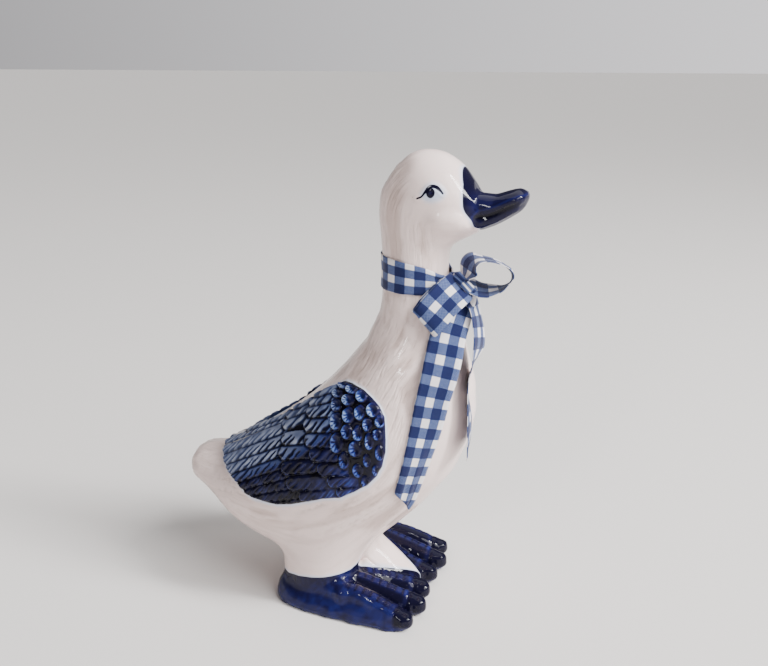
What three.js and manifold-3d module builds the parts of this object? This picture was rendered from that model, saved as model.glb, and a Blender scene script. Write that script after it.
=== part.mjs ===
// A white porcelain duck with cobalt-blue wings, bill and feet, and a gingham ribbon tied in a bow
// round its neck.
// The duck is one slip casting: body, neck, head, bill, wings, legs and feet are a single solid.
// Millimetres, +Z up. The duck faces +X with its left side towards +Y, and stands on the plane z = 0.
// The origin is on the ground, at the middle of the porcelain web between its legs.
import * as THREE from "three";
import { mergeVertices } from "three/addons/utils/BufferGeometryUtils.js";
import Module from "manifold-3d";

const wasm = await Module();
wasm.setup();

// Body, neck and head, from the tail to the forehead. Each section is an oval that spans a point on the
// back line and a point on the belly line, both in the plane y = 0 as [x, z], and half is its half width.
const SECTIONS = [
  { back: [-99, 60], belly: [-98.8, 53.5], half: 5 },
  { back: [-96.4, 64.6], belly: [-95.6, 50], half: 11 },
  { back: [-90.5, 67.8], belly: [-89.5, 48.8], half: 16.5 },
  { back: [-80, 68.5], belly: [-80, 45], half: 21.5 },
  { back: [-68, 74], belly: [-68.5, 34.5], half: 27.5 },
  { back: [-53, 84.8], belly: [-54.5, 24.5], half: 34 },
  { back: [-36, 97], belly: [-33, 19], half: 38 },
  { back: [-20, 111], belly: [-5, 24], half: 40 },
  { back: [-7.5, 124.3], belly: [21.5, 39], half: 40 },
  { back: [0.8, 134.5], belly: [44, 65], half: 37 },
  { back: [7.2, 143], belly: [56, 90], half: 32 },
  { back: [11.2, 152.5], belly: [59.2, 112], half: 26.5 },
  { back: [13, 162], belly: [54.5, 134], half: 20.5 },
  { back: [13, 173], belly: [46.5, 158], half: 16.5 },
  { back: [12.8, 183], belly: [44, 178], half: 15.5 },
  { back: [12, 193], belly: [45.3, 186.7], half: 16 },
  { back: [11.2, 203], belly: [48, 189.4], half: 17 },
  { back: [13, 214.5], belly: [51, 191.5], half: 18 },
  { back: [19.5, 225], belly: [53, 192.8], half: 18.5 },
  { back: [30, 230.7], belly: [55.5, 194.5], half: 18 },
  { back: [41, 230], belly: [58, 196], half: 15.5 },
  { back: [50.5, 224], belly: [60, 198], half: 11.5 },
  { back: [55.5, 218], belly: [62.5, 199.5], half: 8.5 },
];
const BODY_RINGS = 33;
const BODY_SIDES = 22;

// Wings. Each stands proud of the body, and its feathers stand proud of the wing.
const WING_LEAN = THREE.MathUtils.degToRad(60);
const WING_RISE = 1.5;
const FEATHER_RISE = 1.4;
const FEATHER_SINK = 0.9;
const FEATHER_FILL = 0.98; // width of a feather as a share of the row's pitch
const FEATHER_FLAT = 0.72; // width of its top as a share of its foot

// Feet and legs
const FOOT_STATIONS = [
  // x, inner |y|, outer |y|, crest height, toe relief
  [-36.8, 18, 26, 7, 0],
  [-34.5, 13.5, 30.5, 13.5, 0],
  [-29, 9.5, 34, 17, 0],
  [-20, 7.3, 36.2, 19.3, 0],
  [-6, 7, 38.2, 21, 0],
  [4, 7.5, 39.3, 20, 2.5],
  [11, 7, 40, 16.5, 4],
  [18, 5, 40.4, 13.8, 4.4],
  [25, 3.4, 40.4, 11.6, 4.4],
  [31, 2.6, 40, 10, 4.2],
  [34.5, 3.2, 39, 7.8, 4.2],
];
const TOE_TIPS = [
  // x and |y| of the middle of each rounded toe tip
  [35, 8],
  [36.6, 21.4],
  [33.8, 35.2],
];
const TOE_TIP_RADII = [6, 4.7, 4.6];
const TOE_TIP_HEIGHT = 4.4;

// Ribbon
const RIBBON_WIDTH = 16;
const RIBBON_THICK = 0.8;
const KNOT_CENTRE = [51, -5, 173];
const KNOT_RADII = [4.5, 5.5, 5];
const BAND_BOTTOM = 167;
const BAND_SIDES = 20;
// Inside of the neck band at its two edges: centre x, half length, half width, and the dip in front.
const BAND_LOWER_EDGE = [29, 16.5, 16.9, 0.8];
const BAND_UPPER_EDGE = [28.5, 16, 15.9, 7];

// Colours of the glaze and the cloth
const WHITE_GLAZE = 0xe8e0dc;
const GINGHAM_BLUE = 0x7386b4;

const point = (x, y, z) => new THREE.Vector3(x, y, z);

const curveThrough = (points) =>
  new THREE.CatmullRomCurve3(points, false, "centripetal");

// A closed BufferGeometry as a manifold solid.
function solidOf(geometry) {
  const bare = geometry.clone();
  bare.deleteAttribute("normal");
  bare.deleteAttribute("uv");
  const merged = mergeVertices(bare, 1e-4);
  return new wasm.Manifold(
    new wasm.Mesh({
      numProp: 3,
      vertProperties: merged.attributes.position.array,
      triVerts: new Uint32Array(merged.index.array),
    }),
  );
}

// A manifold solid as a BufferGeometry.
function geometryOf(solid) {
  const mesh = solid.getMesh();
  const positions = new Float32Array(mesh.numVert * 3);
  for (let i = 0; i < mesh.numVert; i++) {
    const at = i * mesh.numProp;
    positions.set(mesh.vertProperties.subarray(at, at + 3), i * 3);
  }
  return new THREE.BufferGeometry()
    .setAttribute("position", new THREE.BufferAttribute(positions, 3))
    .setIndex(new THREE.BufferAttribute(mesh.triVerts, 1))
    .toNonIndexed();
}

// A closed skin over rings of equal length, with a point at the middle of each end ring.
function loft(rings) {
  const count = rings[0].length;
  const middle = (ring) =>
    ring.reduce((sum, p) => sum.add(p), point(0, 0, 0)).divideScalar(count);
  const points = [...rings.flat(), middle(rings[0]), middle(rings.at(-1))];
  const first = points.length - 2;
  const last = points.length - 1;
  const end = (rings.length - 1) * count;
  const faces = [];
  for (let i = 0; i < count; i++) {
    const next = (i + 1) % count;
    faces.push(first, next, i);
    faces.push(last, end + i, end + next);
    for (let a = 0; a < end; a += count) {
      const b = a + count;
      faces.push(a + i, a + next, b + next);
      faces.push(a + i, b + next, b + i);
    }
  }
  const mesh = new wasm.Mesh({
    numProp: 3,
    vertProperties: new Float32Array(points.flatMap((p) => p.toArray())),
    triVerts: new Uint32Array(faces),
  });
  const solid = new wasm.Manifold(mesh);
  if (solid.volume() > 0) return solid;
  return loft(rings.map((ring) => [...ring].reverse()));
}

// An oval ring about a centre, spanned by two half axes.
function oval(centre, axisA, axisB, sides) {
  return Array.from({ length: sides }, (_, i) => {
    const angle = (2 * Math.PI * i) / sides;
    return centre
      .clone()
      .addScaledVector(axisA, Math.cos(angle))
      .addScaledVector(axisB, Math.sin(angle));
  });
}

const backLine = curveThrough(
  SECTIONS.map((s) => point(s.back[0], 0, s.back[1])),
);
const bellyLine = curveThrough(
  SECTIONS.map((s) => point(s.belly[0], 0, s.belly[1])),
);
const halfWidths = curveThrough(
  SECTIONS.map((s, i) => point(i * 10, s.half, 0)),
);

// A point on the body's skin. t runs from the tail to the forehead, angle from the back over the side to
// the belly, and lift stands it off the skin. side is -1 for the right and +1 for the left.
function skin(t, angle, lift = 0, side = -1) {
  const top = backLine.getPoint(t);
  const bottom = bellyLine.getPoint(t);
  const half = halfWidths.getPoint(t).y + lift;
  const centre = top.clone().add(bottom).multiplyScalar(0.5);
  const reach = top.clone().sub(bottom).multiplyScalar(0.5);
  reach.setLength(reach.length() + lift);
  return centre
    .addScaledVector(reach, Math.cos(angle))
    .add(point(0, side * half * Math.sin(angle), 0));
}

function bodySkin(lift) {
  const rings = [];
  for (let r = 0; r <= BODY_RINGS; r++)
    rings.push(
      Array.from({ length: BODY_SIDES }, (_, i) =>
        skin(r / BODY_RINGS, (2 * Math.PI * i) / BODY_SIDES, lift),
      ),
    );
  return loft(rings);
}

// Bill: an upper and a lower lobe, lofted forwards from inside the head.
function bill() {
  const lobe = (stations) =>
    loft(
      stations.map(([x, z, halfWidth, halfHeight, tilt]) =>
        oval(
          point(x, 0, z),
          point(0, halfWidth, 0),
          point(
            -Math.sin(tilt) * halfHeight,
            0,
            Math.cos(tilt) * halfHeight,
          ),
          12,
        ),
      ),
    );
  const upper = lobe([
    // x, z, half width, half height, tilt
    [44, 208, 10, 12, 0.5],
    [53, 209, 10.5, 9.5, 0.55],
    [60, 208.4, 9.5, 5.6, 0.35],
    [66, 209, 9, 4.2, 0.2],
    [72, 210.6, 9.4, 4.2, 0.2],
    [77, 211.8, 8.8, 3.8, 0.2],
    [79.6, 212, 6, 2.4, 0.2],
    [80.4, 212, 2, 0.8, 0.2],
  ]);
  const lower = lobe([
    [48, 200, 8, 6, 0.4],
    [56, 200.3, 9.4, 4.8, 0.4],
    [64, 203, 8.4, 4.2, 0.35],
    [71, 206, 8, 3.8, 0.3],
    [76, 208.2, 7, 3.2, 0.3],
    [79, 209.4, 3, 1.6, 0.3],
  ]);
  return upper.add(lower);
}

// The wing is drawn on a plane that leans back against the body's side: along is x, and across rises up
// the side.
const WING_OUTLINE = [
  // along, across
  [0, 96.5],
  [9, 94.5],
  [17, 89],
  [22.5, 81.5],
  [25.2, 73],
  [25.4, 62],
  [20.5, 51.5],
  [11.5, 43.5],
  [0, 38.8],
  [-14, 35.6],
  [-30, 32.4],
  [-44, 32.8],
  [-56, 39],
  [-65, 44.5],
  [-72, 52],
  [-76, 60.5],
  [-62, 67.5],
  [-40, 79.5],
  [-18, 90.5],
];

const acrossOf = (p) =>
  -Math.abs(p.y) * Math.cos(WING_LEAN) + p.z * Math.sin(WING_LEAN);

// The place on the skin that lies under a point of the wing's plane, as t and angle, found by Newton steps.
function underWing(along, across) {
  let t = 0.2 + (along + 76) / 480;
  let angle = 1.2;
  const miss = (a, b) => {
    const p = skin(a, b, WING_RISE);
    return [p.x - along, acrossOf(p) - across];
  };
  const step = 1e-4;
  for (let i = 0; i < 12; i++) {
    const [fx, fy] = miss(t, angle);
    const [tx, ty] = miss(t + step, angle);
    const [ax, ay] = miss(t, angle + step);
    const a = (tx - fx) / step;
    const b = (ax - fx) / step;
    const c = (ty - fy) / step;
    const d = (ay - fy) / step;
    const det = a * d - b * c;
    t -= THREE.MathUtils.clamp((d * fx - b * fy) / det, -0.06, 0.06);
    angle -= THREE.MathUtils.clamp((a * fy - c * fx) / det, -0.3, 0.3);
    t = THREE.MathUtils.clamp(t, 0.02, 0.7);
    angle = THREE.MathUtils.clamp(angle, 0.02, 2.6);
  }
  return [t, angle];
}

// The position on the wing pad and the outward normal there.
function wingFrame(along, across, side) {
  const [t, angle] = underWing(along, across);
  const at = skin(t, angle, WING_RISE, side);
  const step = 1e-3;
  const alongBody = skin(t + step, angle, WING_RISE, side).sub(at);
  const roundBody = skin(t, angle + step, WING_RISE, side).sub(at);
  const normal = alongBody.cross(roundBody).normalize();
  if (normal.y * side + normal.z * 0.5 < 0) normal.negate();
  return { at, normal };
}

function wingPad(side) {
  const outline = new THREE.SplineCurve(
    [...WING_OUTLINE, WING_OUTLINE[0]].map(
      ([along, across]) => new THREE.Vector2(along, across),
    ),
  ).getPoints(30);
  outline.pop();
  const up = point(
    0,
    -side * Math.cos(WING_LEAN),
    Math.sin(WING_LEAN),
  );
  const out = point(
    0,
    side * Math.sin(WING_LEAN),
    Math.cos(WING_LEAN),
  );
  const ring = (depth) =>
    outline.map((p) =>
      point(p.x, 0, 0).addScaledVector(up, p.y).addScaledVector(out, depth),
    );
  const nearest = 22;
  const farthest = 110;
  return loft([ring(nearest), ring(farthest)]).intersect(bodySkin(WING_RISE));
}

// One feather: a low ridged tongue that lies on the wing pad, sunk at its root and proud at its rounded tip.
function feather(root, tip, width, steps, side) {
  const rings = [];
  const across = new THREE.Vector2(-(tip.y - root.y), tip.x - root.x)
    .normalize()
    .multiplyScalar(width / 2);
  for (let i = 0; i <= steps; i++) {
    const s = i / steps;
    const reach = Math.sin((Math.PI / 2) * s);
    const spine = root.clone().lerp(tip, reach);
    const swell = Math.sqrt(Math.max(0, 1 - s ** 3.2)) * (0.62 + 0.38 * reach);
    const rise = FEATHER_RISE * (1.25 * reach - 0.25);
    const place = (share, lift) => {
      const { at, normal } = wingFrame(
        spine.x + across.x * share,
        spine.y + across.y * share,
        side,
      );
      return at.addScaledVector(normal, lift);
    };
    const edge = Math.max(swell, 0.25);
    rings.push([
      place(-edge, -FEATHER_SINK),
      place(-edge * FEATHER_FLAT, rise),
      place(edge * FEATHER_FLAT, rise),
      place(edge, -FEATHER_SINK),
    ]);
  }
  return loft(rings);
}

// Rows of feathers, from the front of the wing to its tip. Each row runs down the wing: its roots lie on
// one curve and its tips on another.
const FEATHER_ROWS = [
  {
    roots: [[15, 91], [25, 72], [22.5, 55]],
    tips: [[9, 86], [17.5, 70], [17, 53]],
    count: 5,
    steps: 2,
  },
  {
    roots: [[9, 93.5], [19.5, 72], [17.5, 50]],
    tips: [[3, 89], [12.5, 69.5], [11.5, 47.5]],
    count: 6,
    steps: 2,
  },
  {
    roots: [[4, 95], [14, 72], [13, 47]],
    tips: [[-2, 91], [6.5, 70], [6, 44.5]],
    count: 6,
    steps: 2,
  },
  {
    roots: [[-1, 95], [7.5, 71.5], [8, 44.5]],
    tips: [[-9, 91.5], [-2, 69], [-2, 42]],
    count: 6,
    steps: 2,
  },
  {
    roots: [[-7, 92], [0, 70], [0, 42]],
    tips: [[-20.5, 86.5], [-15.5, 66], [-10, 39]],
    count: 6,
    steps: 2,
  },
  {
    roots: [[-19, 87], [-13, 65.5], [-8, 39.5]],
    tips: [[-36.5, 78], [-31, 58], [-25, 35.5]],
    count: 6,
    steps: 3,
  },
  {
    roots: [[-35, 78], [-28, 59], [-22, 36.5]],
    tips: [[-74, 59.5], [-62.5, 45.5], [-42, 33]],
    count: 6,
    steps: 3,
  },
];

function wing(side) {
  const onCurve = (ends, share) => {
    const [a, b, c] = ends.map(([x, y]) => new THREE.Vector2(x, y));
    return new THREE.SplineCurve([a, b, c]).getPoint(share);
  };
  const feathers = FEATHER_ROWS.flatMap((row) =>
    Array.from({ length: row.count }, (_, i) => {
      const share = (i + 0.5) / row.count;
      const tip = onCurve(row.tips, share);
      const pitch = onCurve(row.tips, i / row.count).distanceTo(
        onCurve(row.tips, (i + 1) / row.count),
      );
      return feather(
        onCurve(row.roots, share),
        tip,
        pitch * FEATHER_FILL,
        row.steps,
        side,
      );
    }),
  );
  return wasm.Manifold.union([wingPad(side), ...feathers]);
}

// Leg: a feathered trunk from inside the foot up into the body.
function leg(side) {
  const stations = [
    // x, |y|, z, half length, half width
    [-15, 21, 4, 19, 13.5],
    [-15.3, 21, 12, 19.3, 14],
    [-15, 20.5, 22, 20.3, 15],
    [-13.5, 19, 30, 23, 17],
    [-11, 16.5, 39, 27.5, 19.5],
    [-8, 13, 52, 33, 22],
  ];
  return loft(
    stations.map(([x, y, z, length, width]) =>
      oval(point(x, side * y, z), point(length, 0, 0), point(0, width, 0), 16),
    ),
  );
}

// The web of porcelain between the legs: it closes the gap from the ground up to the belly, and slopes
// down to the front between the inner toes.
function web() {
  const stations = [
    // x, half width, height
    [-31, 6, 30],
    [-24, 10, 34],
    [-8, 12, 36],
    [4, 12, 34],
    [12, 12, 25],
    [20, 9, 17],
    [26, 7, 13.5],
    [30.5, 4.5, 10.5],
    [33, 2.5, 8],
  ];
  return loft(
    stations.map(([x, half, height]) => {
      const shoulder = height * 0.72;
      return [
        point(x, -half, 0),
        point(x, -half, shoulder),
        point(x, -half * 0.6, height * 0.93),
        point(x, 0, height),
        point(x, half * 0.6, height * 0.93),
        point(x, half, shoulder),
        point(x, half, 0),
      ];
    }),
  );
}

// Foot: a smooth heel that breaks up into three ridged toes with rounded tips.
function foot(side) {
  const steps = 12;
  const rings = FOOT_STATIONS.map(([x, inner, outer, height, relief]) => {
    const ring = [];
    for (let i = 0; i <= steps; i++) {
      const share = i / steps;
      const lean = 2 * share - 1;
      const dome = (1 - Math.abs(lean) ** 3.4) ** 0.5;
      const valley = (relief * (1 + Math.cos(6 * Math.PI * share))) / 2;
      const inside = share > 0 && share < 1 ? 1 : 0;
      const z = Math.max((height - valley * inside) * dome, 0);
      ring.push(point(x, side * (inner + (outer - inner) * share), z));
    }
    const middle = (inner + outer) / 2;
    ring.push(point(x, side * middle, -0.001));
    return ring;
  });
  const tips = TOE_TIPS.map(([x, y]) => {
    const ball = new THREE.SphereGeometry(1, 7, 5);
    ball.scale(...TOE_TIP_RADII);
    ball.translate(x, side * y, TOE_TIP_HEIGHT);
    return solidOf(ball);
  });
  return wasm.Manifold.union([loft(rings), ...tips]);
}

// Everything below the ground plane is cut away, so that the duck stands flat.
function groundBlock() {
  const block = new THREE.BoxGeometry(260, 200, 20);
  block.translate(-10, 0, -10);
  return solidOf(block);
}

function duck() {
  const limbs = [-1, 1].flatMap((side) => [wing(side), leg(side), foot(side)]);
  return wasm.Manifold.union([bodySkin(0), bill(), web(), ...limbs]).subtract(
    groundBlock(),
  );
}

// The ribbon is pulled together where it leaves the knot, and opens to its full width further on.
const gatheredOnce = (share) => Math.min(1, 0.5 + 3 * share);
const gatheredTwice = (share) =>
  Math.min(1, 0.5 + 2.5 * share, 0.5 + 2.5 * (1 - share));

// A strip of ribbon of even thickness. Each station is a point of its middle line and the direction of
// its width.
function strip(stations, gather) {
  const line = curveThrough(stations.map((s) => s.at));
  const turn = curveThrough(stations.map((s) => s.across));
  const count = stations.length;
  const rings = [];
  for (let i = 0; i <= count; i++) {
    const share = i / count;
    const at = line.getPoint(share);
    const across = turn.getPoint(share).normalize();
    const run = line.getTangent(share);
    const normal = run.clone().cross(across).normalize();
    const half = (RIBBON_WIDTH / 2) * gather(share);
    const corner = (u, w) =>
      at
        .clone()
        .addScaledVector(across, u * half)
        .addScaledVector(normal, (w * RIBBON_THICK) / 2);
    rings.push([corner(-1, -1), corner(1, -1), corner(1, 1), corner(-1, 1)]);
  }
  return loft(rings);
}

const station = (at, across) => ({
  at: point(...at),
  across: point(...across).normalize(),
});

// The band round the neck. It narrows from the nape towards the knot, and its inside clears the neck.
function neckBand() {
  const ring = ([centre, halfLength, halfWidth, dip], z, outwards) =>
    Array.from({ length: BAND_SIDES }, (_, i) => {
      const angle = (2 * Math.PI * i) / BAND_SIDES;
      const front = ((1 + Math.cos(angle)) / 2) ** 2;
      return point(
        centre + (halfLength + outwards) * Math.cos(angle),
        (halfWidth + outwards) * Math.sin(angle),
        z - dip * front,
      );
    });
  const top = BAND_BOTTOM + RIBBON_WIDTH;
  const overrun = 3;
  const outside = loft([
    ring(BAND_LOWER_EDGE, BAND_BOTTOM, RIBBON_THICK),
    ring(BAND_UPPER_EDGE, top, RIBBON_THICK),
  ]);
  const inside = loft([
    ring(BAND_LOWER_EDGE, BAND_BOTTOM - overrun, 0.15),
    ring(BAND_UPPER_EDGE, top + overrun, -0.15),
  ]);
  return outside.subtract(inside);
}

function bow() {
  const knot = new THREE.SphereGeometry(1, 8, 6);
  knot.scale(...KNOT_RADII);
  knot.translate(...KNOT_CENTRE);
  const nearLoop = strip([
    station([51, -6, 173.5], [0.65, 0.1, -0.75]),
    station([46, -12, 170], [0.72, 0, -0.69]),
    station([43.9, -16.9, 166.7], [0.7, -0.03, -0.71]),
    station([41.6, -20.3, 162.2], [0.62, -0.07, -0.78]),
    station([39, -21.8, 157.6], [0.53, -0.11, -0.84]),
    station([38.6, -20, 157.4], [0.53, -0.11, -0.84]),
    station([40.7, -17.2, 161.4], [0.62, -0.07, -0.78]),
    station([43.2, -13.3, 165.7], [0.7, -0.03, -0.71]),
    station([51, -5, 172.5], [0.65, 0.1, -0.75]),
  ], gatheredTwice);
  const farLoop = strip([
    station([51.5, -4.5, 174.5], [0.5, 0.75, -0.45]),
    station([53, -1.5, 178.8], [0.35, 0.85, -0.4]),
    station([59.3, 2, 181.2], [-0.1, 0.98, -0.1]),
    station([65.4, 4, 180.7], [-0.25, 0.96, 0]),
    station([70.7, 5.5, 178.4], [-0.25, 0.96, 0]),
    station([72.5, 6, 175.6], [-0.25, 0.96, 0]),
    station([71.9, 5.5, 172.2], [-0.25, 0.96, 0.1]),
    station([64.6, 3, 167.2], [-0.25, 0.96, 0.13]),
    station([57.5, 0.5, 168.8], [-0.25, 0.96, 0.13]),
    station([51.5, -4, 172], [-0.1, 0.97, 0.2]),
  ], gatheredTwice);
  const nearTail = strip([
    station([51, -6, 172], [0.75, 0.55, -0.35]),
    station([50.2, -10.8, 159], [0.85, 0.45, -0.25]),
    station([49, -15.2, 145], [0.86, 0.45, -0.22]),
    station([47.2, -22.4, 131.8], [0.86, 0.46, -0.2]),
    station([45.4, -27.7, 117.2], [0.87, 0.44, -0.2]),
    station([42.9, -30.6, 104.3], [0.85, 0.48, -0.22]),
    station([40.8, -31.7, 94], [0.8, 0.55, -0.25]),
    station([38, -31.8, 84.6], [0.75, 0.62, -0.25]),
    station([35.2, -30.7, 75], [0.66, 0.71, -0.25]),
    station([32.8, -29.2, 66.5], [0.6, 0.77, -0.25]),
  ], gatheredOnce);
  const farTail = strip([
    station([51.5, -4, 172], [0.3, 0.95, 0]),
    station([58.6, -5, 163.5], [0.15, 0.99, 0]),
    station([61.1, -8, 155.4], [0.1, 0.99, 0]),
    station([61.9, -10.4, 147], [0.05, 1, 0]),
    station([60.9, -13, 136.4], [-0.1, 1, 0]),
    station([59.4, -15.2, 126], [-0.2, 0.98, 0]),
    station([59.3, -15.7, 116], [-0.15, 0.99, 0]),
    station([60.2, -15.7, 109], [-0.08, 0.99, 0]),
    station([60.5, -15.7, 99.5], [-0.1, 0.99, 0]),
    station([60, -15.5, 90], [-0.2, 0.97, 0]),
  ], gatheredOnce);
  return wasm.Manifold.union([
    neckBand(),
    solidOf(knot),
    nearLoop,
    farLoop,
    nearTail,
    farTail,
  ]);
}

const group = new THREE.Group();
for (const [name, solid, color, roughness] of [
  ["duck", duck(), WHITE_GLAZE, 0.12],
  ["ribbon", bow(), GINGHAM_BLUE, 0.85],
]) {
  const material = new THREE.MeshStandardMaterial({
    color,
    roughness,
    metalness: 0,
  });
  const mesh = new THREE.Mesh(geometryOf(solid), material);
  mesh.name = name;
  group.add(mesh);
}

export default group;
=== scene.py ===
import itertools
import math

import bpy
import numpy as np
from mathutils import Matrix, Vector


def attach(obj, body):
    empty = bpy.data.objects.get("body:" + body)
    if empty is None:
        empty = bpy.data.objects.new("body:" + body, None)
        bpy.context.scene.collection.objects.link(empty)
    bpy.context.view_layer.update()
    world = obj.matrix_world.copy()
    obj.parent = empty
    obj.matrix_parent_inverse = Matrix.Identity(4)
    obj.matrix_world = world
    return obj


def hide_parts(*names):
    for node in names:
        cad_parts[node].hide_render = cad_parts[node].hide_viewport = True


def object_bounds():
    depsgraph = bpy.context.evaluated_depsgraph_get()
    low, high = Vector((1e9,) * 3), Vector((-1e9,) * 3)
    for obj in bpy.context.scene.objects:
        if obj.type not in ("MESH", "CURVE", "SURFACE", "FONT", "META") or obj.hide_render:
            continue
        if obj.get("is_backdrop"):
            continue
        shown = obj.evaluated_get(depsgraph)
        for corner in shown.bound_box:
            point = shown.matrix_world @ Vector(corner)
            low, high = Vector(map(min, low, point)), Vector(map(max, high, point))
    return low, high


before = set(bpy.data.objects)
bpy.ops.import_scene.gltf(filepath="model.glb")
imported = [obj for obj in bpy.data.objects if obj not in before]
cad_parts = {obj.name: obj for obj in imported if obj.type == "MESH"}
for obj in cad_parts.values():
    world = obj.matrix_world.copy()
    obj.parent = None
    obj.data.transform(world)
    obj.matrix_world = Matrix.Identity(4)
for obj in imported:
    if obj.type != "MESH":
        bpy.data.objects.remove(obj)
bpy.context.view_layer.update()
bpy.ops.object.select_all(action="DESELECT")


# The view: from the duck's right and a little in front, looking slightly down on it.
bpy.ops.object.camera_add(
    location=(0.13595, -0.37944, 0.27131),
    rotation=(math.radians(72), 0, math.radians(18)),
)
view_camera = bpy.context.object
view_camera.name = "view_camera"
view_camera.data.lens = 40
view_camera.data.sensor_width = 36
view_camera.data.clip_start = 0.01
bpy.context.scene.camera = view_camera


# The duck: one slip casting of white porcelain, body, neck, head, bill, wings, legs and feet together.
# Its feathers and plumage are carved in the mould, the wings, bill and feet are painted in cobalt under
# the glaze, and the whole is glazed. It starts as the solid of the frame, remeshed as one even skin.

# Back line x, z, belly line x, z, and half width of the body's oval sections, tail to forehead.
BODY_SECTIONS = np.array([
    [-99, 60, -98.8, 53.5, 5],
    [-96.4, 64.6, -95.6, 50, 11],
    [-90.5, 67.8, -89.5, 48.8, 16.5],
    [-80, 68.5, -80, 45, 21.5],
    [-68, 74, -68.5, 34.5, 27.5],
    [-53, 84.8, -54.5, 24.5, 34],
    [-36, 97, -33, 19, 38],
    [-20, 111, -5, 24, 40],
    [-7.5, 124.3, 21.5, 39, 40],
    [0.8, 134.5, 44, 65, 37],
    [7.2, 143, 56, 90, 32],
    [11.2, 152.5, 59.2, 112, 26.5],
    [13, 162, 54.5, 134, 20.5],
    [13, 173, 46.5, 158, 16.5],
    [12.8, 183, 44, 178, 15.5],
    [12, 193, 45.3, 186.7, 16],
    [11.2, 203, 48, 189.4, 17],
    [13, 214.5, 51, 191.5, 18],
    [19.5, 225, 53, 192.8, 18.5],
    [30, 230.7, 55.5, 194.5, 18],
    [41, 230, 58, 196, 15.5],
    [50.5, 224, 60, 198, 11.5],
    [55.5, 218, 62.5, 199.5, 8.5],
])
SECTION_SAMPLES = 160
SKIN_VOXEL = 0.00172
SOLE_HEIGHT = 0.8

# The wing is drawn on a plane that leans in over the back: along is x, and across rises up the plane.
WING_LEAN = math.radians(60)
WING_RISE = 1.5
WING_OUTLINE = np.array([
    [1.2, 95.8], [5.3, 94.7], [12.7, 91.6], [18.2, 87.5], [21.5, 84.8], [24.2, 80.3], [24.8, 76.2],
    [25.4, 70], [25.5, 64.5], [24, 58.1], [21.5, 53.4], [17.1, 48.5], [10.9, 44.3], [3.4, 40.4],
    [-5.6, 38.5], [-13.2, 36.3], [-22.3, 33.8], [-30.3, 32.6], [-36.5, 32.6], [-42.9, 33.1],
    [-47, 34.4], [-51.2, 36.8], [-54.8, 39.7], [-58.6, 41.7], [-61.5, 43.6], [-65.4, 46.5],
    [-69.5, 50.2], [-73.9, 55.4], [-77.5, 59.8], [-69.2, 66.2], [-58.2, 70.9], [-47.7, 74.8],
    [-37.2, 79], [-29.9, 83], [-20.9, 87.4], [-14.7, 90.4], [-6.9, 93.8],
])


def curve_through(points, count):
    """Even samples of a smooth curve through the points."""
    points = np.asarray(points, float)
    padded = np.vstack([2 * points[0] - points[1], points, 2 * points[-1] - points[-2]])
    at = np.linspace(0, len(points) - 1, count)
    i = np.minimum(at.astype(int), len(points) - 2)
    f = (at - i)[:, None]
    a, b, c, d = (padded[i + k] for k in range(4))
    ab, bc, cd = (
        np.sqrt(np.linalg.norm(q - p, axis=1)).clip(1e-6)[:, None]
        for p, q in ((a, b), (b, c), (c, d))
    )
    leave = bc * ((b - a) / ab - (c - a) / (ab + bc) + (c - b) / bc)
    arrive = bc * ((c - b) / bc - (d - b) / (bc + cd) + (d - c) / cd)
    return (
        (2 * f**3 - 3 * f**2 + 1) * b
        + (f**3 - 2 * f**2 + f) * leave
        + (3 * f**2 - 2 * f**3) * c
        + (f**3 - f**2) * arrive
    )


def ease(low, high, value):
    """A soft step from 0 at low to 1 at high."""
    share = np.clip((value - low) / (high - low), 0, 1)
    return share * share * (3 - 2 * share)


def drift(places, seed):
    """Smooth noise from -1 to 1."""
    cell = np.floor(places).astype(np.int64)
    share = places - cell
    share = share * share * (3 - 2 * share)
    total = np.zeros(len(places))
    for corner in itertools.product((0, 1), repeat=3):
        k = cell + corner
        key = (k[:, 0] * 73856093) ^ (k[:, 1] * 19349663) ^ (k[:, 2] * 83492791)
        key = ((key ^ (seed * 668265263)) & 0xFFFFFFFF) * 2246822519 & 0xFFFFFFFF
        key = ((key ^ (key >> 13)) * 3266489917) & 0xFFFFFFFF
        value = ((key ^ (key >> 16)) & 0xFFFFFFFF) / 2**31 - 1
        total += value * np.prod(np.where(corner, share, 1 - share), axis=1)
    return total


def inside_outline(places, outline):
    """Distance inside a closed outline, negative outside it."""
    nearest = np.full(len(places), 1e9)
    crossings = np.zeros(len(places), int)
    for a, b in zip(outline, np.roll(outline, -1, axis=0)):
        run = b - a
        share = np.clip((places - a) @ run / (run @ run), 0, 1)
        gap = places - a - share[:, None] * run
        nearest = np.minimum(nearest, np.einsum("ij,ij->i", gap, gap))
        rises = (places[:, 1] < b[1]) != (places[:, 1] < a[1])
        with np.errstate(divide="ignore", invalid="ignore"):
            meets = a[0] + (places[:, 1] - a[1]) / run[1] * run[0]
        crossings += rises & (places[:, 0] < meets)
    return np.sqrt(nearest) * np.where(crossings % 2, 1, -1)


def near_line(places, line):
    """Distance to an open line and the share along it."""
    nearest = np.full(len(places), 1e9)
    along = np.zeros(len(places))
    run = np.diff(line, axis=0)
    lengths = np.linalg.norm(run, axis=1)
    reached = np.concatenate([[0], np.cumsum(lengths)])
    for a, step, length, start in zip(line, run, lengths, reached):
        share = np.clip((places - a) @ step / length**2, 0, 1)
        gap = np.linalg.norm(places - a - share[:, None] * step, axis=1)
        closer = gap < nearest
        nearest = np.where(closer, gap, nearest)
        along = np.where(closer, (start + share * length) / reached[-1], along)
    return nearest, along


def read_line(at, line, column=1):
    """A drawn line's value, found by its first column."""
    return np.interp(at, line[:, 0], line[:, column])


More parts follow.
